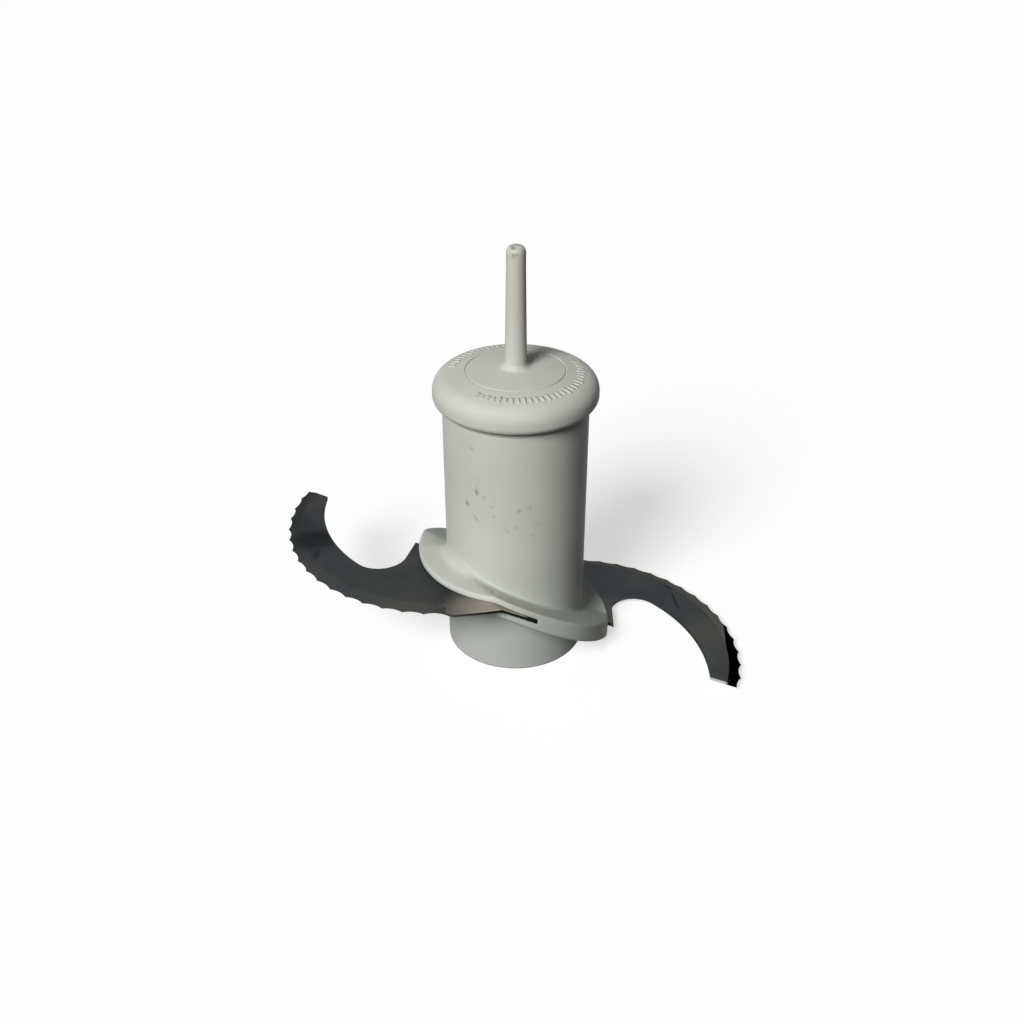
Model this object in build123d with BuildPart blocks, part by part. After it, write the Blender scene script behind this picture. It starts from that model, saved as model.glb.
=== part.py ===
"""Food processor blade: moulded hub with an inclined collar, S-shaped steel blade, cap with locating pin.

Millimetres. Origin on the hub's axis, in the plane of its bottom rim. +Z runs up the axis.
The blade turns counter-clockwise seen from above. The left wing (-X) is the high one.
"""
from build123d import *
import os
from math import atan2, cos, degrees, hypot, radians, sin, sqrt, tan

# Hub tube
tube_height = 87.5
tube_radius = 23.1
tube_wall = 2.3

# Steel plate of the blade
plate_thickness = 1.2
plate_center_x = -1.7
plate_center_y = 0.95
ring_gap = 0.47
ring_width = 4.0
high_wing_height = 33.2
low_wing_height = 2.8

# Ramp that joins the two wings through the collar
ramp_azimuth = 37.0
bend_stand_off = 1.5
bend_radius = 4.0

# Cutting edge and tip that the two wings share, measured from the plate's centre
edge_center_x = -21.5
edge_center_y = 18.4
edge_radius = 55.95
tip_edge_angle = 161.2
tip_width = 9.7

# Tip, inner edge, notch and shoulder of the high wing
high_tip_slant = -32.5
high_inner_radius = 55.0
high_notch_radius = 9.2
high_notch_stand_off = 11.1
high_notch_center_y = -5.0
high_notch_end_angle = -16.0
high_shoulder_stand_off = -0.2
high_shoulder_height = 1.35

# The same of the low wing, in its place after half a turn
low_tip_slant = -26.0
low_inner_radius = 54.0
low_notch_radius = 8.7
low_notch_stand_off = 11.9
low_notch_center_y = -3.75
low_notch_end_angle = -20.0
low_shoulder_stand_off = 3.6
low_shoulder_height = 4.25

# Heel of a wing, measured from the end of the cutting edge
heel_start_x = 5.9
heel_start_y = -1.1
heel_middle_x = 16.7
heel_middle_y = 0.5
heel_end_x = 32.2
heel_end_y = 4.9
heel_lap_angle = 8.0

# Ground and scalloped cutting edge
tooth_count = 16
tooth_start_angle = 159.5
tooth_step_angle = 7.0
tooth_depth = 0.75
bevel_width = 4.2
edge_thickness = 0.3

# Collar that holds the blade
collar_cover = 0.95
upper_lip = 1.8
lower_lip = 2.9
collar_floor_gap = 1.0
lip_chamfer = 0.6
crease_chamfer = 0.8
seat_clearance = 0.05
lip_relief = 0.35
relief_depth = 3.0

# Drive sleeve inside the hub, with keyways and ribs, closed by a web
drive_bore_radius = 8.0
drive_bore_length = 12.0
bore_relief = 0.6
sleeve_wall = 1.6
key_count = 2
key_width = 3.0
key_depth = 1.2
rib_count = 4
rib_thickness = 1.8
rib_bottom = 30.0
rib_azimuth = 45.0
web_thickness = 2.2

# Cap, with a spigot that plugs the tube. Heights are above the tube's top.
cap_overhang = 3.2
cap_edge_height = 9.65
cap_edge_rounding = 5.6
cap_lower_chamfer = 1.3
cap_skin = 2.8
crown_height = 12.8
groove_height = 11.7
groove_radius = 15.5
groove_width = 0.5
groove_depth = 0.3
spigot_depth = 8.0
spigot_wall = 2.0
spigot_clearance = 0.05
spigot_gap = 1.3

# Locating pin on the cap
pin_length = 38.3
pin_base_radius = 3.5
pin_tip_radius = 2.95
pin_bearing_length = 7.0
pin_tip_chamfer = 1.2
pin_foot_chamfer = 1.2

# Small gate mark on the cap's side
gate_mark_width = 1.6
gate_mark_height = 1.0
gate_mark_proud = 0.3
gate_mark_rise = 3.1
gate_mark_azimuth = -8.0

# Derived sizes
half_turn = 180
right_angle = 90
half_plate = plate_thickness / 2
plate_shift = hypot(plate_center_x, plate_center_y)
ring_hole_radius = tube_radius + plate_shift + ring_gap
ring_outer_radius = ring_hole_radius + ring_width
collar_radius = ring_outer_radius + plate_shift + collar_cover
bend_distance = tube_radius + bend_stand_off
ramp_angle = atan2(high_wing_height - low_wing_height, 2 * bend_distance)
reach = edge_radius + abs(edge_center_x) + abs(edge_center_y)
ramp_x = (cos(radians(ramp_azimuth)), sin(radians(ramp_azimuth)), 0)
ramp_normal = (sin(radians(ramp_azimuth)), -cos(radians(ramp_azimuth)), 0)
ramp_plane = Plane(origin=(0, 0, 0), x_dir=ramp_x, z_dir=ramp_normal).offset(-reach)
plate_plane = Plane.XY.shift_origin((plate_center_x, plate_center_y, 0))


def bend_points(distance):
    """Ends and bends of the blade's folded line, moved up by a distance along its normal."""
    shift = bend_distance - distance * tan(ramp_angle / 2)
    shift_low = bend_distance + distance * tan(ramp_angle / 2)
    return [
        (-reach, high_wing_height + distance),
        (-shift, high_wing_height + distance),
        (shift_low, low_wing_height + distance),
        (reach, low_wing_height + distance),
    ]


def folded_face(above, below, floor=None):
    """Side view of a folded layer: from below to above the middle of the plate."""
    top = bend_points(above)
    bottom = bend_points(-below)
    top_radii = [bend_radius + above, max(bend_radius - above, bend_radius / 2)]
    bottom_radii = [max(bend_radius - below, bend_radius / 2), bend_radius + below]
    with BuildSketch(ramp_plane) as face:
        with BuildLine():
            FilletPolyline(*top, radius=top_radii)
            Line(top[-1], bottom[-1])
            FilletPolyline(*bottom, radius=bottom_radii)
            Line(bottom[0], top[0])
        make_face()
        if floor is not None:
            with Locations((0, floor)):
                Rectangle(2 * reach, reach, align=(Align.CENTER, Align.MAX), mode=Mode.SUBTRACT)
    return face.sketch


def on_circle(center_x, center_y, radius, angle):
    """Point on a circle at an angle in degrees."""
    return (center_x + radius * cos(radians(angle)), center_y + radius * sin(radians(angle)))


# Corners of the cutting edge and of the heel
last_tooth_angle = tooth_start_angle + (tooth_count - 1 / 2) * tooth_step_angle
tip_outer = on_circle(edge_center_x, edge_center_y, edge_radius, tip_edge_angle)
edge_end = on_circle(edge_center_x, edge_center_y, edge_radius, last_tooth_angle)
heel_start = (edge_end[0] + heel_start_x, edge_end[1] + heel_start_y)
heel_middle = (edge_end[0] + heel_middle_x, edge_end[1] + heel_middle_y)
heel_end = (edge_end[0] + heel_end_x, edge_end[1] + heel_end_y)
ring_middle_radius = (ring_hole_radius + ring_outer_radius) / 2
shoulder_foot = (-ring_middle_radius, 0)
heel_foot = on_circle(0, 0, ring_middle_radius, degrees(atan2(heel_end[1], heel_end[0])) + heel_lap_angle)


def wing_outline(tip_slant, inner_radius, notch, notch_radius, notch_end_angle, shoulder):
    """Outline of one wing. The inner edge's arc starts at the tip and runs into the notch's arc."""
    tip_inner = on_circle(*tip_outer, tip_width, tip_slant)
    distance = hypot(notch[0] - tip_inner[0], notch[1] - tip_inner[1])
    direction = degrees(atan2(notch[1] - tip_inner[1], notch[0] - tip_inner[0]))
    along = (distance**2 + inner_radius**2 - (inner_radius - notch_radius) ** 2) / (2 * distance)
    across = sqrt(inner_radius**2 - along**2)
    inner_center = on_circle(*on_circle(*tip_inner, along, direction), across, direction + right_angle)
    meeting_angle = degrees(atan2(notch[1] - inner_center[1], notch[0] - inner_center[0]))
    notch_start = on_circle(*inner_center, inner_radius, meeting_angle)
    notch_bottom = (notch[0], notch[1] - notch_radius)
    notch_end = on_circle(*notch, notch_radius, notch_end_angle)
    with BuildSketch() as wing:
        with BuildLine():
            RadiusArc(tip_outer, edge_end, -edge_radius)
            Line(edge_end, heel_start)
            ThreePointArc(heel_start, heel_middle, heel_end)
            Polyline(heel_end, heel_foot, (0, 0), shoulder_foot, shoulder, notch_end)
            ThreePointArc(notch_end, notch_bottom, notch_start)
            RadiusArc(notch_start, tip_inner, inner_radius)
            Line(tip_inner, tip_outer)
        make_face()
    return wing.sketch


high_wing = wing_outline(
    high_tip_slant,
    high_inner_radius,
    (-collar_radius - high_notch_stand_off, high_notch_center_y),
    high_notch_radius,
    high_notch_end_angle,
    (-collar_radius - high_shoulder_stand_off, high_shoulder_height),
)
low_wing = wing_outline(
    low_tip_slant,
    low_inner_radius,
    (-collar_radius - low_notch_stand_off, low_notch_center_y),
    low_notch_radius,
    low_notch_end_angle,
    (-collar_radius - low_shoulder_stand_off, low_shoulder_height),
).rotate(Axis.Z, half_turn)

with BuildSketch(plate_plane) as plate_outline:
    Circle(ring_outer_radius)
    add([high_wing, low_wing])
    Circle(ring_hole_radius, mode=Mode.SUBTRACT)

# Cutters of the bevel and of the scallops, turned about the centre of the edge's arc
half_step = radians(tooth_step_angle / 2)
tooth_chord = 2 * edge_radius * sin(half_step)
scallop_radius = (tooth_chord**2 / 4 + tooth_depth**2) / (2 * tooth_depth)
scallop_distance = edge_radius * cos(half_step) - tooth_depth + scallop_radius
bevel_drop = plate_thickness - edge_thickness
cutter_height = plate_thickness * 3
bevel_rise = bevel_drop / bevel_width
bevel_over = scallop_radius / 2
bevel_sweep = tooth_count * tooth_step_angle


def edge_cutter(wing_height):
    """Cutter for one wing's edge, drawn for the wing on the -X side."""
    arc_axis = Axis((edge_center_x, edge_center_y, 0), (0, 0, 1))
    wing_top = (edge_center_x, edge_center_y, wing_height + half_plate)
    with BuildPart() as bevel:
        with BuildSketch(Plane(origin=wing_top, x_dir=(1, 0, 0), z_dir=(0, -1, 0))):
            with BuildLine():
                Polyline(
                    (edge_radius - bevel_width, 0),
                    (edge_radius + bevel_over, -bevel_rise * (bevel_width + bevel_over)),
                    (edge_radius + bevel_over, cutter_height),
                    (edge_radius - bevel_width, cutter_height),
                    close=True,
                )
            make_face()
        revolve(axis=arc_axis, revolution_arc=bevel_sweep)
    with BuildPart() as cutter:
        with BuildSketch(Plane.XY.offset(wing_height - cutter_height)):
            with Locations((edge_center_x, edge_center_y)):
                with PolarLocations(
                    scallop_distance,
                    tooth_count,
                    start_angle=tooth_start_angle + tooth_step_angle / 2,
                    angular_range=bevel_sweep,
                ):
                    Circle(scallop_radius)
        extrude(amount=2 * cutter_height)
        add(bevel.part.rotate(arc_axis, tooth_start_angle))
    return cutter.part


with BuildPart() as blade:
    add(plate_outline.sketch)
    extrude(amount=high_wing_height + plate_thickness)
    extrude(folded_face(half_plate, half_plate), amount=2 * reach, mode=Mode.INTERSECT)
    with Locations(plate_plane):
        add(edge_cutter(high_wing_height), mode=Mode.SUBTRACT)
        add(edge_cutter(low_wing_height).rotate(Axis.Z, half_turn), mode=Mode.SUBTRACT)
blade.part.label = "blade"

# Slot for the plate in the collar, and the relief under each wing at the rim
with BuildSketch(plate_plane) as seat_outline:
    add(plate_outline.sketch_local)
    offset(amount=seat_clearance)

with BuildPart() as seat:
    add(seat_outline.sketch)
    extrude(amount=high_wing_height + collar_radius)
    extrude(
        folded_face(half_plate + seat_clearance, half_plate + seat_clearance),
        amount=2 * reach,
        mode=Mode.INTERSECT,
    )

with BuildSketch(plate_plane) as relief_outline:
    add([high_wing, low_wing])
    offset(amount=seat_clearance)

with BuildPart() as relief:
    add(relief_outline.sketch)
    extrude(amount=high_wing_height + collar_radius)
    extrude(folded_face(half_plate, half_plate + lip_relief), amount=2 * reach, mode=Mode.INTERSECT)
    Cylinder(collar_radius - relief_depth, 4 * reach, mode=Mode.SUBTRACT)

# Hub: collar and tube in one moulding, open below, with the drive sleeve inside
tube_bore_radius = tube_radius - tube_wall
tube_wall_middle = tube_radius - tube_wall / 2
relief_bore_radius = drive_bore_radius + bore_relief
sleeve_radius = relief_bore_radius + sleeve_wall
web_top = tube_height - spigot_depth - spigot_gap
sleeve_depth = web_top - web_thickness

with BuildPart() as hub:
    with BuildSketch():
        Circle(collar_radius)
    extrude(amount=high_wing_height + collar_radius)
    extrude(
        folded_face(half_plate + upper_lip, half_plate + lower_lip, collar_floor_gap),
        amount=2 * reach,
        mode=Mode.INTERSECT,
    )
    collar_side = hub.faces().filter_by(GeomType.CYLINDER).sort_by(SortBy.AREA)[-1]
    chamfer(collar_side.edges(), lip_chamfer)
    with BuildSketch():
        Circle(tube_radius)
    extrude(amount=tube_height)
    tube_above = hub.faces().filter_by(GeomType.CYLINDER).sort_by(Axis.Z)[-1]
    crease = tube_above.edges().filter_by(GeomType.LINE, reverse=True).sort_by(Axis.Z)[:-1]
    chamfer(crease, crease_chamfer)
    with BuildSketch():
        Circle(tube_bore_radius)
    extrude(amount=tube_height, mode=Mode.SUBTRACT)
    with BuildSketch():
        Circle(sleeve_radius)
    extrude(amount=web_top)
    with BuildSketch(Plane.XY.offset(sleeve_depth)):
        Circle(tube_wall_middle)
    extrude(amount=web_thickness)
    with BuildSketch(Plane.XY.offset(rib_bottom)):
        with PolarLocations(0, rib_count, start_angle=rib_azimuth):
            Rectangle(tube_wall_middle, rib_thickness, align=(Align.MIN, Align.CENTER))
    extrude(amount=web_top - rib_bottom)
    with BuildSketch():
        Circle(drive_bore_radius)
        with PolarLocations(drive_bore_radius, key_count):
            Rectangle(2 * key_depth, key_width)
    extrude(amount=sleeve_depth, mode=Mode.SUBTRACT)
    with BuildSketch(Plane.XY.offset(drive_bore_length)):
        Circle(relief_bore_radius)
    extrude(amount=sleeve_depth - drive_bore_length, mode=Mode.SUBTRACT)
    add(seat.part, mode=Mode.SUBTRACT)
    add(relief.part, mode=Mode.SUBTRACT)
hub.part.label = "hub"

# Cap: crowned skin that overhangs the tube, hollow from below
cap_radius = tube_radius + cap_overhang
spigot_radius = tube_bore_radius - spigot_clearance
spigot_bore_radius = spigot_radius - spigot_wall
spigot_bottom = tube_height - spigot_depth
ceiling = tube_height + groove_height - cap_skin
cap_edge = (cap_radius, tube_height + cap_edge_height)
groove_middle = (groove_radius, tube_height + groove_height)
pin_foot = (pin_base_radius, tube_height + crown_height)
pin_top = tube_height + crown_height + pin_length
pin_corner = (pin_tip_radius, pin_top)

with BuildSketch(Plane.XZ) as cap_section:
    with BuildLine():
        Polyline(
            (0, ceiling),
            (spigot_bore_radius, ceiling),
            (spigot_bore_radius, spigot_bottom),
            (spigot_radius, spigot_bottom),
            (spigot_radius, tube_height),
            (cap_radius, tube_height),
            cap_edge,
            groove_middle,
            pin_foot,
            (pin_tip_radius, pin_top - pin_bearing_length),
            pin_corner,
            (0, pin_top),
            close=True,
        )
    make_face()
    fillet(cap_section.vertices().sort_by_distance(cap_edge)[0], cap_edge_rounding)
    chamfer(cap_section.vertices().sort_by_distance(pin_corner)[0], pin_tip_chamfer)
    chamfer(cap_section.vertices().sort_by_distance((cap_radius, tube_height))[0], cap_lower_chamfer)
    chamfer(cap_section.vertices().sort_by_distance(pin_foot)[0], pin_foot_chamfer)
    with Locations(groove_middle):
        Rectangle(groove_width, 2 * groove_depth, mode=Mode.SUBTRACT)

gate_mark_level = tube_height + gate_mark_rise
gate_mark_plane = Plane.XY.rotated((0, 0, gate_mark_azimuth)).offset(gate_mark_level)

with BuildPart() as top_cap:
    revolve(cap_section.sketch, axis=Axis.Z)
    with BuildSketch(gate_mark_plane):
        with Locations((cap_radius, 0)):
            Rectangle(2 * gate_mark_proud, gate_mark_width)
    extrude(amount=gate_mark_height)
top_cap.part.label = "top_cap"

os.makedirs("parts", exist_ok=True)
export_step(blade.part, "parts/blade.step")
export_step(hub.part, "parts/hub.step")
export_step(top_cap.part, "parts/top_cap.step")
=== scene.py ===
# %% [markdown]
# # A used food processor blade
# The object is a chopping blade for the bowl of a food processor: a pale moulded hub with a slanted
# collar, an S-shaped steel blade clamped in that collar, and a cap with a long locating pin. The solids
# come from the CAD model, in metres, and already have their real size and place. This script only
# dresses them: it adds what the solids leave out, gives every surface its finish, and lights the part.

from math import atan2, cos, degrees, hypot, pi, radians, sin, tan

import bmesh
import bpy
from mathutils import Matrix, Vector


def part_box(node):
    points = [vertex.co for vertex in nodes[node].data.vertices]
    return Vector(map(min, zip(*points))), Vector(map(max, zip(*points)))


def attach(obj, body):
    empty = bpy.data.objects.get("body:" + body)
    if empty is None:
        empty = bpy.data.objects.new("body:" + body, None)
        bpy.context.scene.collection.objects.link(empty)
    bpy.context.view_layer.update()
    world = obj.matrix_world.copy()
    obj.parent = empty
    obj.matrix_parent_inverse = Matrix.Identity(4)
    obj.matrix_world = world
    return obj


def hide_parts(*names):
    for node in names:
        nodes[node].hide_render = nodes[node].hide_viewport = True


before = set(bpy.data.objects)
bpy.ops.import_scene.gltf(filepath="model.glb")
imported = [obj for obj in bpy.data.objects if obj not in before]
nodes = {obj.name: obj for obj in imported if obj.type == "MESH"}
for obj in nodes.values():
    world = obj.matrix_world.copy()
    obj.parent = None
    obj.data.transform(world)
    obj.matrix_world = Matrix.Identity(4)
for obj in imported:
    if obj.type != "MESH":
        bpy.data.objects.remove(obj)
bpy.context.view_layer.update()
print("solids:", ", ".join(sorted(nodes)))

# %% [markdown]
# ## Units and small helpers
# Blender works in metres and the object is described in millimetres, so one value turns one into the
# other. A place on the hub is easiest to give as an angle round its axis, a height and a radius.

# %% Units
mm = 0.001


def on_hub(azimuth, radius, height):
    """Point at an angle round the axis (degrees from +X), with its radius and height in millimetres."""
    turn = radians(azimuth)
    return Vector((radius * cos(turn), radius * sin(turn), height)) * mm


tube_top, pin_end = (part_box(node)[1][2] / mm for node in ("hub", "top_cap"))
print("hub is", round(tube_top, 1), "mm tall, the pin ends at", round(pin_end, 1), "mm")

# %% [markdown]
# ## The camera
# The view looks down on the part by about a third of a right angle from roughly arm's length, so that the
# low wing comes towards the eye and the top of the cap shows as a flat oval. From so near, the straight tube
# looks a little wider at its top, which is closer to the lens, than at its foot.

# %% Camera
camera_distance = 320
camera_height = 247.2
camera_pitch = 31.96
camera_turn = 0.21
camera_lens = 40.05

camera_data = bpy.data.cameras.new("camera")
camera_data.lens = camera_lens
camera_data.clip_start = 0.01
camera_data.clip_end = 50
camera = bpy.data.objects.new("camera", camera_data)
camera.location = Vector((0, -camera_distance, camera_height)) * mm
camera.rotation_euler = (radians(90 - camera_pitch), 0, radians(camera_turn))
bpy.context.collection.objects.link(camera)
bpy.context.scene.camera = camera
print("camera looks down by", camera_pitch, "degrees")

# %% [markdown]
# ## Materials are small node trees
# Every finish below is a tree of nodes. One function adds a node, sets its options, and either sets an
# input or links it to another node's output. Another turns a colour written as a hex value, which is how
# a designer notes it, to the linear numbers that the renderer works with.

# %% Node helpers


def linear(hex_colour):
    """Linear RGBA of an sRGB colour written as #rrggbb."""
    channels = [int(hex_colour[start:start + 2], 16) / 255 for start in (1, 3, 5)]
    return (*(c / 12.92 if c <= 0.04045 else ((c + 0.055) / 1.055) ** 2.4 for c in channels), 1)


def add_node(tree, kind, inputs=None, **settings):
    """Add a node to a tree. An input is given by its name or number, as a value or as a socket to link."""
    node = tree.nodes.new(kind)
    for name, value in settings.items():
        setattr(node, name, value)
    for name, value in (inputs or {}).items():
        if isinstance(value, bpy.types.NodeSocket):
            tree.links.new(value, node.inputs[name])
        else:
            node.inputs[name].default_value = value
    return node


def new_material(name, **values):
    """Material with one Principled shader, whose uniform values are set on its own sockets."""
    material = bpy.data.materials.new(name)
    material.use_nodes = True
    tree = material.node_tree
    shader = next(node for node in tree.nodes if node.type == "BSDF_PRINCIPLED")
    for socket, value in values.items():
        shader.inputs[socket.replace("_", " ").title().replace("Ior", "IOR")].default_value = value
    return material, tree, shader


def per_mm(size):
    """Scale of a texture whose features are to be a size in millimetres."""
    return 1 / (size * mm)


print("helpers ready")

# %% [markdown]
# ## Marks of use
# The tube carries small dark rubs, each a few millimetres long, where other tools have knocked against it in
# a drawer. A picture could hold them, but nodes can too: a Mapping node set to Texture moves and stretches
# space so that one mark is a unit ball, and a spherical Gradient is one at the ball's middle and nothing
# outside it. The largest value of all the balls is the mask of the marks. A little noise is added to the
# coordinates first, so that the marks get ragged edges.

# %% Mask of small marks


def ragged_coordinates(tree, size, shift):
    """Object coordinates moved about by noise, from the size of its waves and its reach in millimetres."""
    place = add_node(tree, "ShaderNodeTexCoord").outputs["Object"]
    waves = add_node(tree, "ShaderNodeTexNoise", {"Vector": place, "Scale": per_mm(size), "Detail": 4})
    centred = add_node(
        tree, "ShaderNodeVectorMath", {0: waves.outputs["Color"], 1: (0.5, 0.5, 0.5)}, operation="SUBTRACT"
    )
    moved = add_node(
        tree,
        "ShaderNodeVectorMath",
        {0: centred.outputs["Vector"], 1: (2 * shift * mm,) * 3, 2: place},
        operation="MULTIPLY_ADD",
    )
    return moved.outputs["Vector"]


def spot(tree, place, centre, half_sizes, turn=(0, 0, 0), strength=1.0):
    """Mask of one soft spot: its half sizes along its own axes in millimetres, turned by an XYZ angle."""
    ball = add_node(
        tree,
        "ShaderNodeMapping",
        {"Vector": place, "Location": centre, "Rotation": turn, "Scale": Vector(half_sizes) * mm},
        vector_type="TEXTURE",
    )
    fade = add_node(tree, "ShaderNodeTexGradient", {"Vector": ball.outputs[0]}, gradient_type="SPHERICAL")
    level = add_node(tree, "ShaderNodeMath", {0: fade.outputs["Fac"], 1: strength}, operation="MULTIPLY")
    return level.outputs[0]


def largest(tree, masks):
    """The largest value of several masks, taken pair by pair."""
    total = masks[0]
    for mask in masks[1:]:
        total = add_node(tree, "ShaderNodeMath", {0: total, 1: mask}, operation="MAXIMUM").outputs[0]
    return total


def where_both(tree, first, second):
    """Mask of the places that two masks share."""
    return add_node(tree, "ShaderNodeMath", {0: first, 1: second}, operation="MULTIPLY").outputs[0]


def from_axis(tree, place):
    """Distance of a place from the upright axis, in metres."""
    flat = add_node(tree, "ShaderNodeVectorMath", {0: place, 1: (1, 1, 0)}, operation="MULTIPLY").outputs[0]
    return add_node(tree, "ShaderNodeVectorMath", {0: flat}, operation="LENGTH").outputs["Value"]


def blend_colour(tree, mask, low, high):
    """Colour that goes from low to high as the mask goes from 0 to 1."""
    mix = add_node(tree, "ShaderNodeMix", {0: mask, 6: low, 7: high}, data_type="RGBA")
    return mix.outputs[2]


def step_up(tree, value, start, end, low=0.0, high=1.0):
    """Value that rises from low to high, smoothly, as another goes from start to end."""
    ramp = add_node(
        tree,
        "ShaderNodeMapRange",
        {"Value": value, "From Min": start, "From Max": end, "To Min": low, "To Max": high},
        interpolation_type="SMOOTHSTEP",
    )
    return ramp.outputs["Result"]


def step_along(tree, length, start, end, low=0.0, high=1.0):
    """The same for a length in metres that goes between two places given in millimetres."""
    return step_up(tree, length, start * mm, end * mm, low, high)


print("mask helpers ready")

# %% [markdown]
# ## Moulded polypropylene
# The hub and the cap are injection moulded in a pale grey polypropylene. Its surface is a satin one: the
# mould was spark eroded, which leaves a grain of about a third of a millimetre that spreads the highlight
# and keeps it weak. The plastic has dulled in use, so its tone drifts a little over a few centimetres. The
# solids have narrow chamfers where the moulding is rounded; a Bevel node bends the light over them, so they
# read as round. The two pieces share one recipe and differ in their marks and in how round their edges are.

# %% Plastic recipe
plastic_pale = "#cbccc4"
plastic_dull = "#c3c4bc"
plastic_mark = "#77756a"
drift_size = 34
grain_size = 0.35
grain_height = 0.01
noise_span = 0.3, 0.7


def moulded_polypropylene(name, marks_of, edge_softness):
    """Satin moulded plastic with the marks that a function lays on it, its edges rounded in millimetres."""
    material, tree, shader = new_material(name, roughness=0.55, ior=1.49, specular_ior_level=0.15)
    place = add_node(tree, "ShaderNodeTexCoord").outputs["Object"]
    drift = add_node(tree, "ShaderNodeTexNoise", {"Vector": place, "Scale": per_mm(drift_size), "Detail": 3})
    drifting = step_up(tree, drift.outputs["Fac"], *noise_span)
    tone = blend_colour(tree, drifting, linear(plastic_pale), linear(plastic_dull))
    tree.links.new(marks_of(tree, tone), shader.inputs["Base Color"])
    grain = add_node(tree, "ShaderNodeTexNoise", {"Vector": place, "Scale": per_mm(grain_size), "Detail": 2})
    soft_edge = add_node(tree, "ShaderNodeBevel", {"Radius": edge_softness * mm}, samples=8)
    bump = add_node(
        tree,
        "ShaderNodeBump",
        {
            "Strength": 1.0,
            "Distance": grain_height * mm,
            "Height": grain.outputs["Fac"],
            "Normal": soft_edge.outputs["Normal"],
        },
    )
    tree.links.new(bump.outputs["Normal"], shader.inputs["Normal"])
    return material


print("plastic recipe ready")

# %% [markdown]
# ### Marks on the hub
# The rubs are listed by their place round the axis. From the collar down the plastic has met more food and
# more washing than the tube has, so it is a little duller and cooler there; its darkening there is also
# painted shade from the blade and the collar above. The crease between the tube and the collar gets a little
# painted shade. Both follow from the height and from the distance to the axis.

# %% Marks on the hub
tube_radius = 23.1
# Tone of the painted shade in the crease round the foot of the tube.
plastic_painted_crease_shade = "#9c9d95"
# Cooler, darker plastic from the collar down: partly wear, partly painted shade.
plastic_washed_and_shaded = "#b0b4b0"
# Height up to which the wear and painted shade are full, height where they end, and their strength.
washed_and_shaded_bands = ((30, 56, 0.35), (12, 24, 0.5))
crease_starts = tube_radius + 0.05, tube_radius + 0.3
crease_ends = tube_radius + 0.8, tube_radius + 1.6
crease_shade_depth = 0.2
rub_reach = 2
rub_depth = 0.75
rub_span = 0.02, 0.95
# Angle round the axis, height, length, half width, lean and strength of each rub, in degrees and millimetres.
tube_rubs = (
    (-125.4, 81.7, 4.6, 1.0, -25, 0.5),
    (-118.2, 71.7, 2.0, 1.0, 0, 0.45),
    (-121.4, 67.0, 2.2, 1.4, 20, 1.0),
    (-121.0, 68.8, 3.6, 3.2, 0, 0.35),
    (-130.7, 61.8, 2.0, 1.7, 20, 1.0),
    (-114.8, 65.8, 2.6, 1.3, 20, 0.5),
    (-108.9, 62.9, 2.8, 0.9, -35, 0.5),
    (-106.8, 59.5, 2.0, 1.2, 0, 0.5),
    (-121.9, 57.0, 4.0, 0.8, -50, 0.6),
    (-123.5, 58.2, 3.0, 0.6, -50, 0.45),
    (-87.1, 62.3, 2.0, 1.2, 0, 0.7),
    (-79.2, 63.0, 3.2, 2.0, 0, 0.4),
    (-90.0, 56.2, 2.4, 1.4, 30, 0.45),
    (-97.5, 55.6, 1.8, 1.3, 0, 0.45),
    (-95.9, 54.7, 1.8, 0.9, 30, 0.6),
    (-76.0, 52.9, 2.2, 1.0, 0, 0.45),
    (-62.3, 63.2, 2.0, 1.0, 0, 0.4),
    (-72.1, 56.6, 2.6, 1.4, 0, 0.35),
)


def hub_marks(tree, tone):
    """Dark rubs on the tube, duller plastic from the collar down, partly painted shade, and painted crease
    shade.
    """
    ragged = ragged_coordinates(tree, size=1.2, shift=0.5)
    rubs = [
        spot(
            tree,
            ragged,
            on_hub(azimuth, tube_radius, height),
            (rub_reach, length / 2, half_width),
            (radians(lean), 0, radians(azimuth)),
            strength,
        )
        for azimuth, height, length, half_width, lean, strength in tube_rubs
    ]
    rubbed = step_up(tree, largest(tree, rubs), *rub_span, high=rub_depth)
    tone = blend_colour(tree, rubbed, tone, linear(plastic_mark))
    place = add_node(tree, "ShaderNodeTexCoord").outputs["Object"]
    height = add_node(tree, "ShaderNodeSeparateXYZ", {"Vector": place}).outputs["Z"]
    # The bands below the collar are partly wear and partly painted shade from the blade and collar above.
    for start, end, band_depth in washed_and_shaded_bands:
        washed_and_shaded = step_along(tree, height, start, end, low=band_depth, high=0)
        tone = blend_colour(tree, washed_and_shaded, tone, linear(plastic_washed_and_shaded))
    # Painted shade in the crease round the foot of the tube.
    radius = from_axis(tree, place)
    off_wall = step_along(tree, radius, *crease_starts)
    crease_shade = step_along(tree, radius, *crease_ends, low=crease_shade_depth, high=0)
    return blend_colour(tree, where_both(tree, off_wall, crease_shade), tone, linear(plastic_painted_crease_shade))


hub_plastic = moulded_polypropylene("moulded_polypropylene_hub", hub_marks, edge_softness=0.8)
print("hub has", len(tube_rubs), "rubs")

# %% [markdown]
# ### Marks on the cap
# The pin has yellowed more towards its end, where it is touched, and the very tip is worn and holds dirt. A
# fine noise gives the dirt its grains, and the height keeps it to the last few millimetres.

# %% Marks on the cap
pin_yellow = "#d2cfc2"
yellowed_over = tube_top + 15, pin_end
yellow_depth = 0.6
dirt_size = 1.6
dirt_span = 0.48, 0.62
dirt_depth = 0.8
dirty_over = pin_end - 4.5, pin_end - 1


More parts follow.
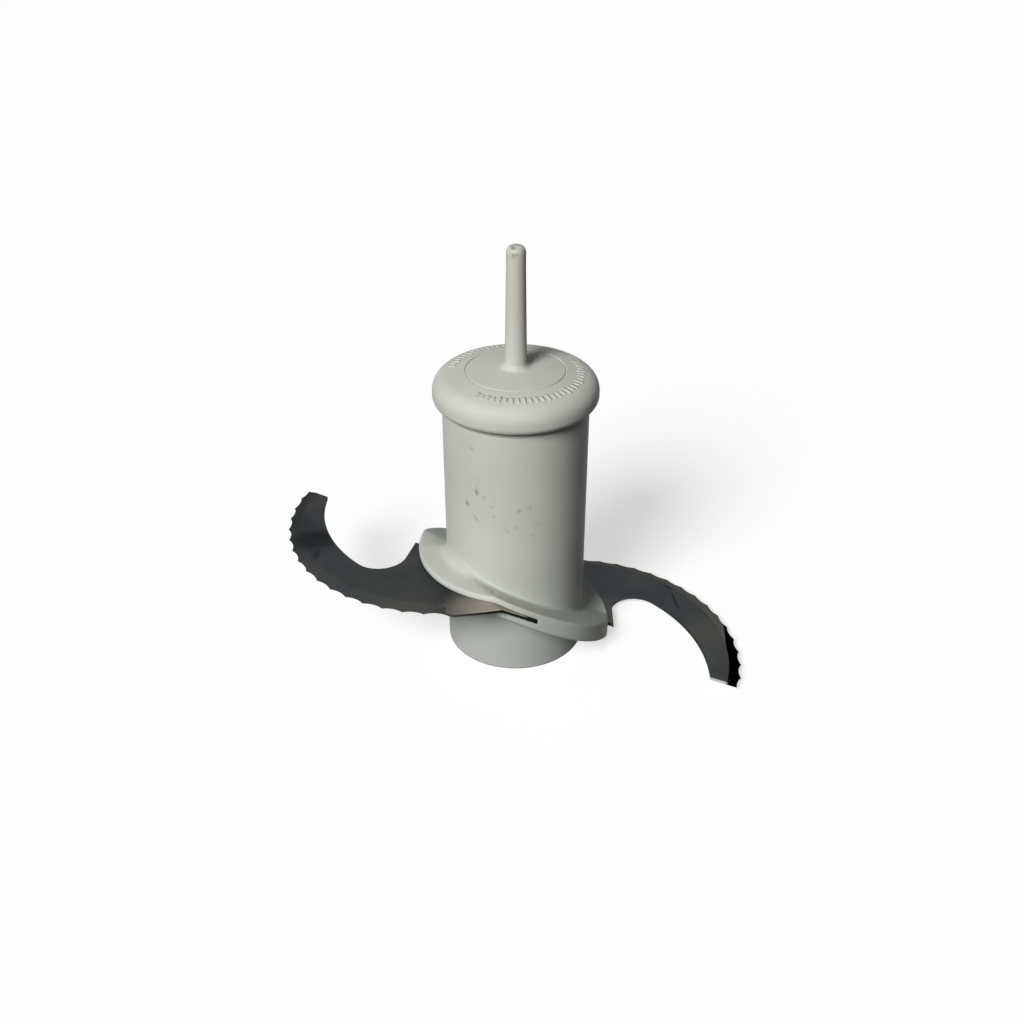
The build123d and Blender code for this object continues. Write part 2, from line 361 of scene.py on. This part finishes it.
def cap_marks(tree, tone):
    """Yellowed pin with a worn, dirty tip."""
    ragged = ragged_coordinates(tree, size=1.5, shift=0.6)
    height = add_node(tree, "ShaderNodeSeparateXYZ", {"Vector": ragged}).outputs["Z"]
    yellowed = step_along(tree, height, *yellowed_over, high=yellow_depth)
    tone = blend_colour(tree, yellowed, tone, linear(pin_yellow))
    grains = add_node(
        tree,
        "ShaderNodeTexNoise",
        {"Vector": ragged, "Scale": per_mm(dirt_size), "Detail": 5, "Roughness": 0.7},
    )
    dirt = step_up(tree, grains.outputs["Fac"], *dirt_span)
    near_tip = step_along(tree, height, *dirty_over, high=dirt_depth)
    return blend_colour(tree, where_both(tree, dirt, near_tip), tone, linear(plastic_mark))


cap_plastic = moulded_polypropylene("moulded_polypropylene_cap", cap_marks, edge_softness=0.2)
print("cap finish ready")

# %% [markdown]
# ## Blade steel
# The blade is stamped from rolled stainless sheet, hardened, and tumbled to a dark satin finish, so it
# mirrors very little and shows cloudy smears. Its cutting edges were ground afterwards. Metal has no colour
# under its surface, so the shader is fully metallic and the tone is its reflection. Its finish is built up
# in layers: the cloudy tone of the sheet, then the stains with some painted reflection, and then the ground
# and cut edges, which carry painted light too.

# %% Steel tones
steel_dark = "#3e3f41"
steel_light = "#4d4d4c"
# Dark tone of the smear and scratch, and of the painted dark reflection and painted shade on the blade.
steel_smear_and_painted_dark = "#1e1e1f"
# Pale tan of the heel: a painted reflection of the pale collar and hub in the steel.
steel_painted_heel_reflection = "#b3ada2"
steel_sheen = "#8c8c8c"
cloud_size = 22
high_top = 33.8
low_top = 3.4


def on_blade(tree, place, centre, half_sizes, lean=0, strength=1.0):
    """Mask of a soft spot on the blade, from millimetres and a lean about the upright axis in degrees."""
    return spot(tree, place, Vector(centre) * mm, half_sizes, (0, 0, radians(lean)), strength)


print("upper faces of the wings at", high_top, "and", low_top, "mm")

# %% [markdown]
# ### Stains, scratches and painted reflections
# What time has done to the steel is laid over its tone as soft spots: a dark smear beside the edge of the low
# wing and a scratch. Two dark patches across the high wing are painted darker reflection, and the pale tan of
# the heel beside the collar is a painted reflection of the plastic there. The heel's painted reflection lies
# on the upper faces alone. A height finds the flat one, and a height measured along the slope finds the ramp,
# so the cut edge under them gets painted shade.

# %% Stains, scratches and painted reflections
ramp_slope = 0.618
ramp_azimuth = 37
ramp_fold = 23.9
ramp_top = high_top - ramp_slope * ramp_fold
ramp_rise = on_hub(ramp_azimuth, ramp_slope, 1) / mm
# Centre, half sizes, lean and strength of each dark spot, in millimetres and degrees: the two on the
# high wing are painted darker reflection, and the one beside the low wing's edge is a smear.
smears_and_dark_reflections = (
    ((-68, 4, high_top), (13, 8, 20), 4, 1.0),
    ((-66, -5, high_top), (2.5, 9, 20), -8, 0.6),
    ((57.2, 19.6, low_top), (3.5, 3.0, 20), 0, 1.0),
)
scratch = (57.35, 10.7, low_top), (0.6, 8.5, 5), 8
heel = (-3, -33, 30), (25, 18, 14), 20
# Mask values between which each mark fades in, and how strong the mark is.
smear_and_reflection_span, smear_and_reflection_depth = (0.05, 0.75), 0.55
scratch_span, scratch_depth = (0.1, 0.7), 0.75
heel_span = 0.02, 0.7
top_faces = high_top - 0.4, high_top - 0.1
ramp_faces = ramp_top - 0.7, ramp_top - 0.4


def stains_and_painted_light(tree, place, tone):
    """Smears and painted darker reflections, a scratch and the heel's painted reflection over the steel's own
    tone.
    """
    ragged = ragged_coordinates(tree, size=9, shift=2.5)
    spots = [on_blade(tree, ragged, *smear) for smear in smears_and_dark_reflections]
    smeared_and_darkened = step_up(tree, largest(tree, spots), *smear_and_reflection_span, high=smear_and_reflection_depth)
    # The high wing's two dark patches are painted darker reflection, and the low wing's is a smear.
    tone = blend_colour(tree, smeared_and_darkened, tone, linear(steel_smear_and_painted_dark))
    scratched = step_up(tree, on_blade(tree, place, *scratch), *scratch_span, high=scratch_depth)
    tone = blend_colour(tree, scratched, tone, linear(steel_smear_and_painted_dark))
    height = add_node(tree, "ShaderNodeSeparateXYZ", {"Vector": place}).outputs["Z"]
    up_ramp = add_node(tree, "ShaderNodeVectorMath", {0: place, 1: ramp_rise}, operation="DOT_PRODUCT")
    upper_faces = (
        step_along(tree, height, *top_faces),
        step_along(tree, up_ramp.outputs["Value"], *ramp_faces),
    )
    # The heel's upper faces get the painted reflection, and its cut faces get painted shade.
    heel_tone = blend_colour(tree, largest(tree, upper_faces), linear(steel_smear_and_painted_dark), linear(steel_painted_heel_reflection))
    on_heel = step_up(tree, on_blade(tree, ragged, *heel), *heel_span)
    return blend_colour(tree, on_heel, tone, heel_tone)


print(len(smears_and_dark_reflections), "smears, a scratch and a stained heel")

# %% [markdown]
# ### Ground and cut edges
# The bevel of the low wing was ground after tumbling, so it is a shade paler than the sheet. Towards the tip
# it turns black, first at the edge and then over its whole width. This black is a painted reflection: the
# real one mirrors something dark there, and a bright studio has nothing dark to mirror. The distance from the
# middle of the edge's arc says how near the edge a point is, and that distance is increased bit by bit
# towards the tip. Two stretches of the low wing's cut faces, at its tip and further in, get a pale painted
# highlight, and painted shade fills the slot where the high wing enters the collar.

# %% Ground and cut edges
steel_ground = "#585857"
steel_painted_dark_reflection = "#020202"
steel_painted_cut_highlight = "#c0c0be"
edge_arc_radius = 55.95
edge_arc_centre = (19.8, -17.45, low_top)
edge_blur = 0.3
bevel_width = 4.2
# Heights over which the low wing's own tones end, places along y over which its bevel takes the painted
# dark reflection, and heights that tell its cut faces from its upper one.
low_wing_ends = 6, 8
dark_reflection_over = -17, 5
cut_faces = low_top - 0.3, low_top - 0.1
# Centre, half sizes, lean and strength of the painted highlights on the cut ends and of the painted
# shade in the slot, as for the smears.
cut_end_highlights = (
    ((66.3, -32.2, low_top), (4.5, 3.2, 5)),
    ((42.8, 11.2, low_top), (6, 1.6, 5), 0, 0.5),
)
slot_painted_shade = (8, -32, 26), (9, 5, 7)
cut_highlight_span = 0.05, 0.4
slot_shade_span = 0.05, 0.5


def edged(tree, place, tone):
    """Low wing's ground bevel, painted reflection at its tip, painted highlights on cut ends, painted shade
    in the slot.
    """
    along = add_node(tree, "ShaderNodeSeparateXYZ", {"Vector": place}).outputs
    low_wing = step_along(tree, along["Z"], *low_wing_ends, low=1, high=0)
    from_centre = add_node(
        tree, "ShaderNodeVectorMath", {0: place, 1: Vector(edge_arc_centre) * mm}, operation="DISTANCE"
    ).outputs["Value"]
    bevel_start = edge_arc_radius - bevel_width
    on_bevel = step_along(tree, from_centre, bevel_start, bevel_start + edge_blur)
    tone = blend_colour(tree, where_both(tree, on_bevel, low_wing), tone, linear(steel_ground))
    # Painted reflection: the bevel turns black towards the tip.
    towards_tip = step_along(tree, along["Y"], *dark_reflection_over, low=1, high=0)
    increased = add_node(
        tree,
        "ShaderNodeMath",
        {0: towards_tip, 1: bevel_width * mm, 2: from_centre},
        operation="MULTIPLY_ADD",
    )
    black = step_along(tree, increased.outputs[0], edge_arc_radius, edge_arc_radius + edge_blur)
    tone = blend_colour(tree, where_both(tree, black, low_wing), tone, linear(steel_painted_dark_reflection))
    # Painted highlight: a pale tone on two stretches of the low wing's cut faces.
    cut_highlight = step_up(tree, largest(tree, [on_blade(tree, place, *end) for end in cut_end_highlights]), *cut_highlight_span)
    cut_face = step_along(tree, along["Z"], *cut_faces, low=1, high=0)
    tone = blend_colour(tree, where_both(tree, cut_highlight, cut_face), tone, linear(steel_painted_cut_highlight))
    # Painted shade in the slot where the high wing enters the collar.
    in_slot_shade = step_up(tree, on_blade(tree, place, *slot_painted_shade), *slot_shade_span)
    return blend_colour(tree, in_slot_shade, tone, linear(steel_smear_and_painted_dark))


print("the edge's arc has a radius of", edge_arc_radius, "mm")

# %% [markdown]
# ### The sheet itself
# The clouds are a noise with features of about two centimetres. Roughness keeps the reflection broad, and a
# grey specular tint holds back the bright rim that metal gets where the eye only grazes it.

# %% Blade steel


def satin_blade_steel():
    """Dark satin stainless sheet with the marks of use and its ground edges."""
    material, tree, shader = new_material(
        "tumbled_stainless_steel", metallic=1.0, roughness=0.4, specular_tint=linear(steel_sheen)
    )
    place = add_node(tree, "ShaderNodeTexCoord").outputs["Object"]
    clouds = add_node(tree, "ShaderNodeTexNoise", {"Vector": place, "Scale": per_mm(cloud_size), "Detail": 4})
    cloudy = step_up(tree, clouds.outputs["Fac"], *noise_span)
    tone = blend_colour(tree, cloudy, linear(steel_dark), linear(steel_light))
    tone = edged(tree, place, stains_and_painted_light(tree, place, tone))
    tree.links.new(tone, shader.inputs["Base Color"])
    return material


steel = satin_blade_steel()
print("steel ready")

# %% [markdown]
# ## The moulded cap
# The solid cap is built of cones with narrow chamfers. The real one is a single soft dome, so it is made
# again here from one profile that is spun round the axis. The profile is a list of corners, each with the
# radius that rounds it, and a rounded corner is an arc between the two points where it touches its sides.

# %% Rounded profile


def rounded_profile(corners, step_angle=9):
    """Points of a line through (radius, height, rounding) corners in millimetres, with rounded corners."""
    points = []
    for index, (across, up, rounding) in enumerate(corners):
        corner = Vector((across, up))
        if not rounding:
            points.append(corner)
            continue
        before = (Vector(corners[index - 1][:2]) - corner).normalized()
        after = (Vector(corners[index + 1][:2]) - corner).normalized()
        half = before.angle(after) / 2
        middle = corner + (before + after).normalized() * (rounding / sin(half))
        start = corner + before * (rounding / tan(half)) - middle
        sweep = -before.angle_signed(after)
        sweep = sweep - pi if sweep > 0 else sweep + pi
        steps = max(2, round(abs(degrees(sweep)) / step_angle))
        for count in range(steps + 1):
            points.append(middle + Matrix.Rotation(sweep * count / steps, 2) @ start)
    return points


def dome(start, end, rise, steps=6):
    """Corners of a shallow arc between two (radius, height) points, bulging by a rise in its middle."""
    start, end = Vector(start), Vector(end)
    return [
        (*(start.lerp(end, count / steps) + Vector((0, 4 * rise * count / steps * (1 - count / steps)))), 0)
        for count in range(1, steps)
    ]


square_corner = rounded_profile(((0, 0, 0), (2, 0, 1), (2, 2, 0)))
print("a square corner rounded by 1 mm has", len(square_corner) - 2, "points")

# %% [markdown]
# ### Spun pieces
# The spin operator turns a line of vertices round the axis and joins each step to the one before, which is
# how a lathe would make the part. Vertices on the axis end up many times in one place, so the doubles are
# merged, and after that the normals are worked out again. Edges with a real corner are kept sharp.

# %% Spin and finish a piece
double_distance = 0.001
sharp_angle = 32


def spun(profile, turns=192):
    """Mesh of a profile in millimetres spun once round the axis, smooth but for its sharp corners."""
    mesh = bmesh.new()
    line = [mesh.verts.new((across * mm, 0, up * mm)) for across, up in profile]
    edges = [mesh.edges.new(pair) for pair in zip(line, line[1:])]
    bmesh.ops.spin(
        mesh, geom=line + edges, cent=(0, 0, 0), axis=(0, 0, 1), angle=2 * pi, steps=turns, use_merge=True
    )
    bmesh.ops.remove_doubles(mesh, verts=mesh.verts, dist=double_distance * mm)
    bmesh.ops.recalc_face_normals(mesh, faces=mesh.faces)
    for face in mesh.faces:
        face.smooth = True
    for edge in mesh.edges:
        edge.smooth = edge.calc_face_angle(0) < radians(sharp_angle)
    return mesh


def finish_piece(name, mesh, material):
    """Make an object of a bmesh, on the part's one body, with a material."""
    data = bpy.data.meshes.new(name)
    mesh.to_mesh(data)
    mesh.free()
    data.materials.append(material)
    piece = bpy.data.objects.new(name, data)
    bpy.context.collection.objects.link(piece)
    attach(piece, "root")
    return piece


print("spin ready")

# %% [markdown]
# ### The cap's profile
# From the pin's tip the profile runs down the pin, out over the dome with its thin groove, round the rim and
# in under it to the neck. From there it follows the spigot that sits in the tube and the hollow above it.

# %% Spin the cap
cap_radius = 26.0
neck_height = 1.7
crown = 12.8
groove_rim = 11.7
groove_floor = 11.4
groove_inner = 15.25
groove_outer = 15.75
pin_length = 38.3
pin_tip_length = 7.0
pin_tip_radius = 2.95
pin_foot_radius = 3.45
spigot_outer = 20.75
spigot_inner = 18.75
spigot_depth = 8
ceiling = 8.9
# Radius, height above the tube's top and rounding of each corner.
cap_profile = (
    (0, crown + pin_length, 0),
    (pin_tip_radius, crown + pin_length, 2.3),
    (pin_tip_radius, crown + pin_length - pin_tip_length, 0),
    (pin_foot_radius, crown, 2.0),
    *dome((pin_foot_radius, crown), (groove_inner, groove_rim + 0.02), 0.12),
    (groove_inner, groove_rim + 0.02, 0),
    (groove_inner + 0.1, groove_floor, 0),
    (groove_outer - 0.1, groove_floor, 0),
    (groove_outer, groove_rim - 0.02, 0),
    *dome((groove_outer, groove_rim - 0.02), (20.9, 10.75), 0.04, steps=3),
    (cap_radius, 9.75, 5.4),
    (cap_radius, neck_height, 2.3),
    (tube_radius, neck_height, 0),
    (tube_radius, 0, 0),
    (spigot_outer, 0, 0),
    (spigot_outer, -spigot_depth, 0),
    (spigot_inner, -spigot_depth, 0),
    (spigot_inner, ceiling, 0),
    (0, ceiling, 0),
)
cap_mesh = spun([(across, up + tube_top) for across, up in rounded_profile(cap_profile)])
smooth_cap = finish_piece("smooth_cap", cap_mesh, cap_plastic)
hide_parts("top_cap")
print("cap has", len(smooth_cap.data.polygons), "faces")

# %% [markdown]
# ## Raised marks on the cap
# Round the groove runs a ring of small raised marks. Here they are plain bars, like the graduations of a
# dial. Each bar starts as a narrow grid. A ray straight down finds the cap's surface at each of its points,
# so it follows the curve of the dome a little below the surface. Then it is extruded up out of the cap. The
# bars are shaded smooth, which makes their small edges look soft, as those of a moulding are.

# %% Raised marks
mark_radius = 20.3
mark_lengths = (3.0, 2.0, 2.5, 2.0)
mark_width = 0.75
mark_proud = 0.2
mark_root = 0.2
mark_step = 5.2
mark_segments = 5
mark_arcs = ((-124, 24), (96, 172))


def add_bar(mesh, azimuth, length):
    """One radial bar of the ring: a grid that follows the dome, extruded up out of it."""
    place = (
        Matrix.Rotation(radians(azimuth), 4, "Z")
        @ Matrix.Translation((mark_radius * mm, 0, 0))
        @ Matrix.Diagonal((length * mm, mark_width * mm, 1, 1))
    )
    made = bmesh.ops.create_grid(mesh, x_segments=mark_segments, y_segments=1, size=0.5, matrix=place)
    for vertex in made["verts"]:
        surface = smooth_cap.ray_cast((vertex.co.x, vertex.co.y, 1), (0, 0, -1))[1]
        vertex.co.z = surface.z - mark_root * mm
    faces = list(dict.fromkeys(face for vertex in made["verts"] for face in vertex.link_faces))
    extruded = bmesh.ops.extrude_face_region(mesh, geom=faces)["geom"]
    upper = [item for item in extruded if isinstance(item, bmesh.types.BMVert)]
    bmesh.ops.translate(mesh, verts=upper, vec=(0, 0, (mark_root + mark_proud) * mm))


marks = bmesh.new()
bars = 0
for start, end in mark_arcs:
    for index in range(int((end - start) / mark_step) + 1):
        add_bar(marks, start + index * mark_step, mark_lengths[index % len(mark_lengths)])
        bars += 1
bmesh.ops.recalc_face_normals(marks, faces=marks.faces)
for face in marks.faces:
    face.smooth = True
cap_ring = finish_piece("cap_raised_marks", marks, cap_plastic)
print(bars, "raised bars,", len(cap_ring.data.polygons), "faces")

# %% [markdown]
# ## Upper lip of the collar
# Over the high wing the lip of the collar is flat, then it falls beside the tube at the slope of the ramp.
# Behind the tube it stays high a little longer than the layer below it. On the left the tube flares into the
# lip in one wide curve, and elsewhere the two meet in a tighter one. The solid has only a narrow chamfer
# there, so the lip's skin is made here as a ring of its own. It starts as a plain flat lip, spun from its
# profile: the curve off the tube, the flat and the rounded rim, with the rim's foot inside the collar.

# %% Plain lip
lip_radius = 32.44
lip_rounding = 0.9
lip_root = 1.2
crease_rounding = 1.6
wall_overlap = 0.02
wall_reach = 0.3
crease_start = tube_radius - wall_overlap
lip_steps = 240
arc_turns = [radians(turn) for turn in range(0, 91, 15)]
lip_profile = (
    (crease_start - wall_overlap, crease_rounding + wall_reach),
    *(
        (crease_start + crease_rounding * (1 - cos(turn)), crease_rounding * (1 - sin(turn)))
        for turn in arc_turns
    ),
    *((lip_radius - lip_rounding * (1 - sin(turn)), lip_rounding * (cos(turn) - 1)) for turn in arc_turns),
    (lip_radius, -lip_rounding - lip_root),
)
lip = spun(lip_profile, lip_steps)
print("lip ring has", len(lip.faces), "faces")

# %% [markdown]
# ### Flare and fold
# A modifier could bend the ring, but the collar's fold is a simple rule, so each point is moved by it: first
# outwards where the curve off the tube is wider, and then up to the height of the folded collar. Where the
# flat part meets the slope, a soft minimum of the two heights rounds the bend. The foot of the rim stays a
# little below the collar's own fold, so no gap opens under the skin.

# %% Flare and fold the lip
lip_high = 35.76
lip_low = 5.25
fold_softness = 0.3
back_azimuth = 32
back_fold = 22.4
flare_rounding = 2.0
least_wall = 0.1
just_over = 1.01
# Angles round the axis over which each feature comes in, and those over which it goes.
held_high = (0, 14), (205, 235)
flared = (165, 205), (222, 256)


def eased(value, start, end):
    """Smooth rise from 0 to 1 as a value goes from start to end."""
    part = min(max((value - start) / (end - start), 0), 1)
    return part * part * (3 - 2 * part)


def between(value, rise, fall):
    """One between two spans of a value, with a smooth rise over the first and a fall over the second."""
    return eased(value, *rise) * (1 - eased(value, *fall))


def folded_height(point, azimuth, fold):
    """Height in millimetres of a flat layer that falls along a ramp beyond a fold, with soft bends."""
    along = point.x * cos(radians(azimuth)) + point.y * sin(radians(azimuth))
    falling = lip_high - ramp_slope * (along + fold)
    upper = (lip_high + falling - hypot(lip_high - falling, fold_softness)) / 2
    return (upper + lip_low + hypot(upper - lip_low, fold_softness)) / 2


def shaped(point):
    """Place of a point of the plain lip, in millimetres, once the lip is flared and folded."""
    azimuth = degrees(atan2(point.y, point.x)) % 360
    radius, level = hypot(point.x, point.y), point.z
    if radius < crease_start + just_over * crease_rounding:
        widening = flare_rounding / crease_rounding * between(azimuth, *flared)
        radius += max(radius - crease_start, 0) * widening
        level += min(level, crease_rounding) * widening
    place = on_hub(azimuth, radius, 0) / mm
    high = between(azimuth, *held_high)
    fold_azimuth = ramp_azimuth + (back_azimuth - ramp_azimuth) * high
    surface = folded_height(place, fold_azimuth, ramp_fold + (back_fold - ramp_fold) * high)
    if level < -just_over * lip_rounding:
        foot = folded_height(place, ramp_azimuth, ramp_fold) - lip_root
        return Vector((place.x, place.y, min(surface - lip_rounding - least_wall, foot)))
    return Vector((place.x, place.y, surface + level))


for vertex in lip.verts:
    vertex.co = shaped(vertex.co / mm) * mm
lip_piece = finish_piece("collar_lip", lip, hub_plastic)
print("lip reaches", round(lip_piece.bound_box[1][2] / mm, 1), "mm")

# %% [markdown]
# ## Finish of the solids
# The hub and the blade keep the solids' own meshes and only change what their slots wear. The solid cap is
# hidden behind the spun one, but it gets the same plastic, so that no part is left without its finish.

# %% Finish of each solid
for name, material in (("hub", hub_plastic), ("top_cap", cap_plastic), ("blade", steel)):
    for material_slot in nodes[name].material_slots:
        material_slot.material = material
    print(name, "wears", material.name)

# %% [markdown]
# ## Floor, light and background
# One broad lamp stands to the left of the camera and above it, as a window would, so the tube is palest a
# little left of its middle and falls to a dark edge on the right. The world adds a little light from all
# round. To the camera, and in the steel, the floor and the world look white: Light Path tells those rays
# from the ones that carry light, so the background is bright and the object is not washed out.

# %% Floor
floor_size = 12.0
floor_look = 0.62
floor_shade = 0.5
floor_bounce = "#3c3c3a"


def seen_ray(tree):
    """One for rays from the camera, in a reflection or through glass, else zero."""
    path = add_node(tree, "ShaderNodeLightPath")
    names = ("Is Camera Ray", "Is Glossy Ray", "Is Transmission Ray")
    return largest(tree, [path.outputs[name] for name in names])


def pale_floor():
    """Matt pale floor that looks white where it is lit and keeps a soft shadow."""
    material, tree, shader = new_material("matt_floor", roughness=1.0)
    tree.nodes.remove(shader)
    output = next(node for node in tree.nodes if node.type == "OUTPUT_MATERIAL")
    lit = add_node(tree, "ShaderNodeBsdfDiffuse", {"Color": (floor_shade,) * 3 + (1,)})
    glow = add_node(tree, "ShaderNodeEmission", {"Color": (1, 1, 1, 1), "Strength": floor_look})
    seen = add_node(tree, "ShaderNodeAddShader", {0: lit.outputs[0], 1: glow.outputs[0]})
    bounce = add_node(tree, "ShaderNodeBsdfDiffuse", {"Color": linear(floor_bounce)})
    both = add_node(
        tree, "ShaderNodeMixShader", {0: seen_ray(tree), 1: bounce.outputs[0], 2: seen.outputs[0]}
    )
    tree.links.new(both.outputs[0], output.inputs["Surface"])
    return material


sheet = bmesh.new()
bmesh.ops.create_grid(sheet, x_segments=1, y_segments=1, size=floor_size / 2)
floor_data = bpy.data.meshes.new("floor")
sheet.to_mesh(floor_data)
sheet.free()
floor_data.materials.append(pale_floor())
floor = bpy.data.objects.new("floor", floor_data)
bpy.context.collection.objects.link(floor)
print("floor is", floor_size, "m across")

# %% Lamp and world
lamp_side = 31
lamp_rise = 39
lamp_power = 3.45
lamp_spread = 24
world_light = 0.035

lamp_data = bpy.data.lights.new("window_light", "SUN")
lamp_data.energy = lamp_power
lamp_data.angle = radians(lamp_spread)
lamp = bpy.data.objects.new("window_light", lamp_data)
lamp.rotation_euler = (radians(90 - lamp_rise), 0, -radians(lamp_side))
bpy.context.collection.objects.link(lamp)

world = bpy.data.worlds.new("studio")
world.use_nodes = True
bpy.context.scene.world = world
backdrop = next(node for node in world.node_tree.nodes if node.type == "BACKGROUND")
strength = step_up(world.node_tree, seen_ray(world.node_tree), 0, 1, low=world_light)
backdrop.inputs["Color"].default_value = (1, 1, 1, 1)
world.node_tree.links.new(strength, backdrop.inputs["Strength"])
bpy.context.scene.view_settings.view_transform = "Standard"
print("lamp", lamp_side, "degrees to the left,", lamp_rise, "degrees up")
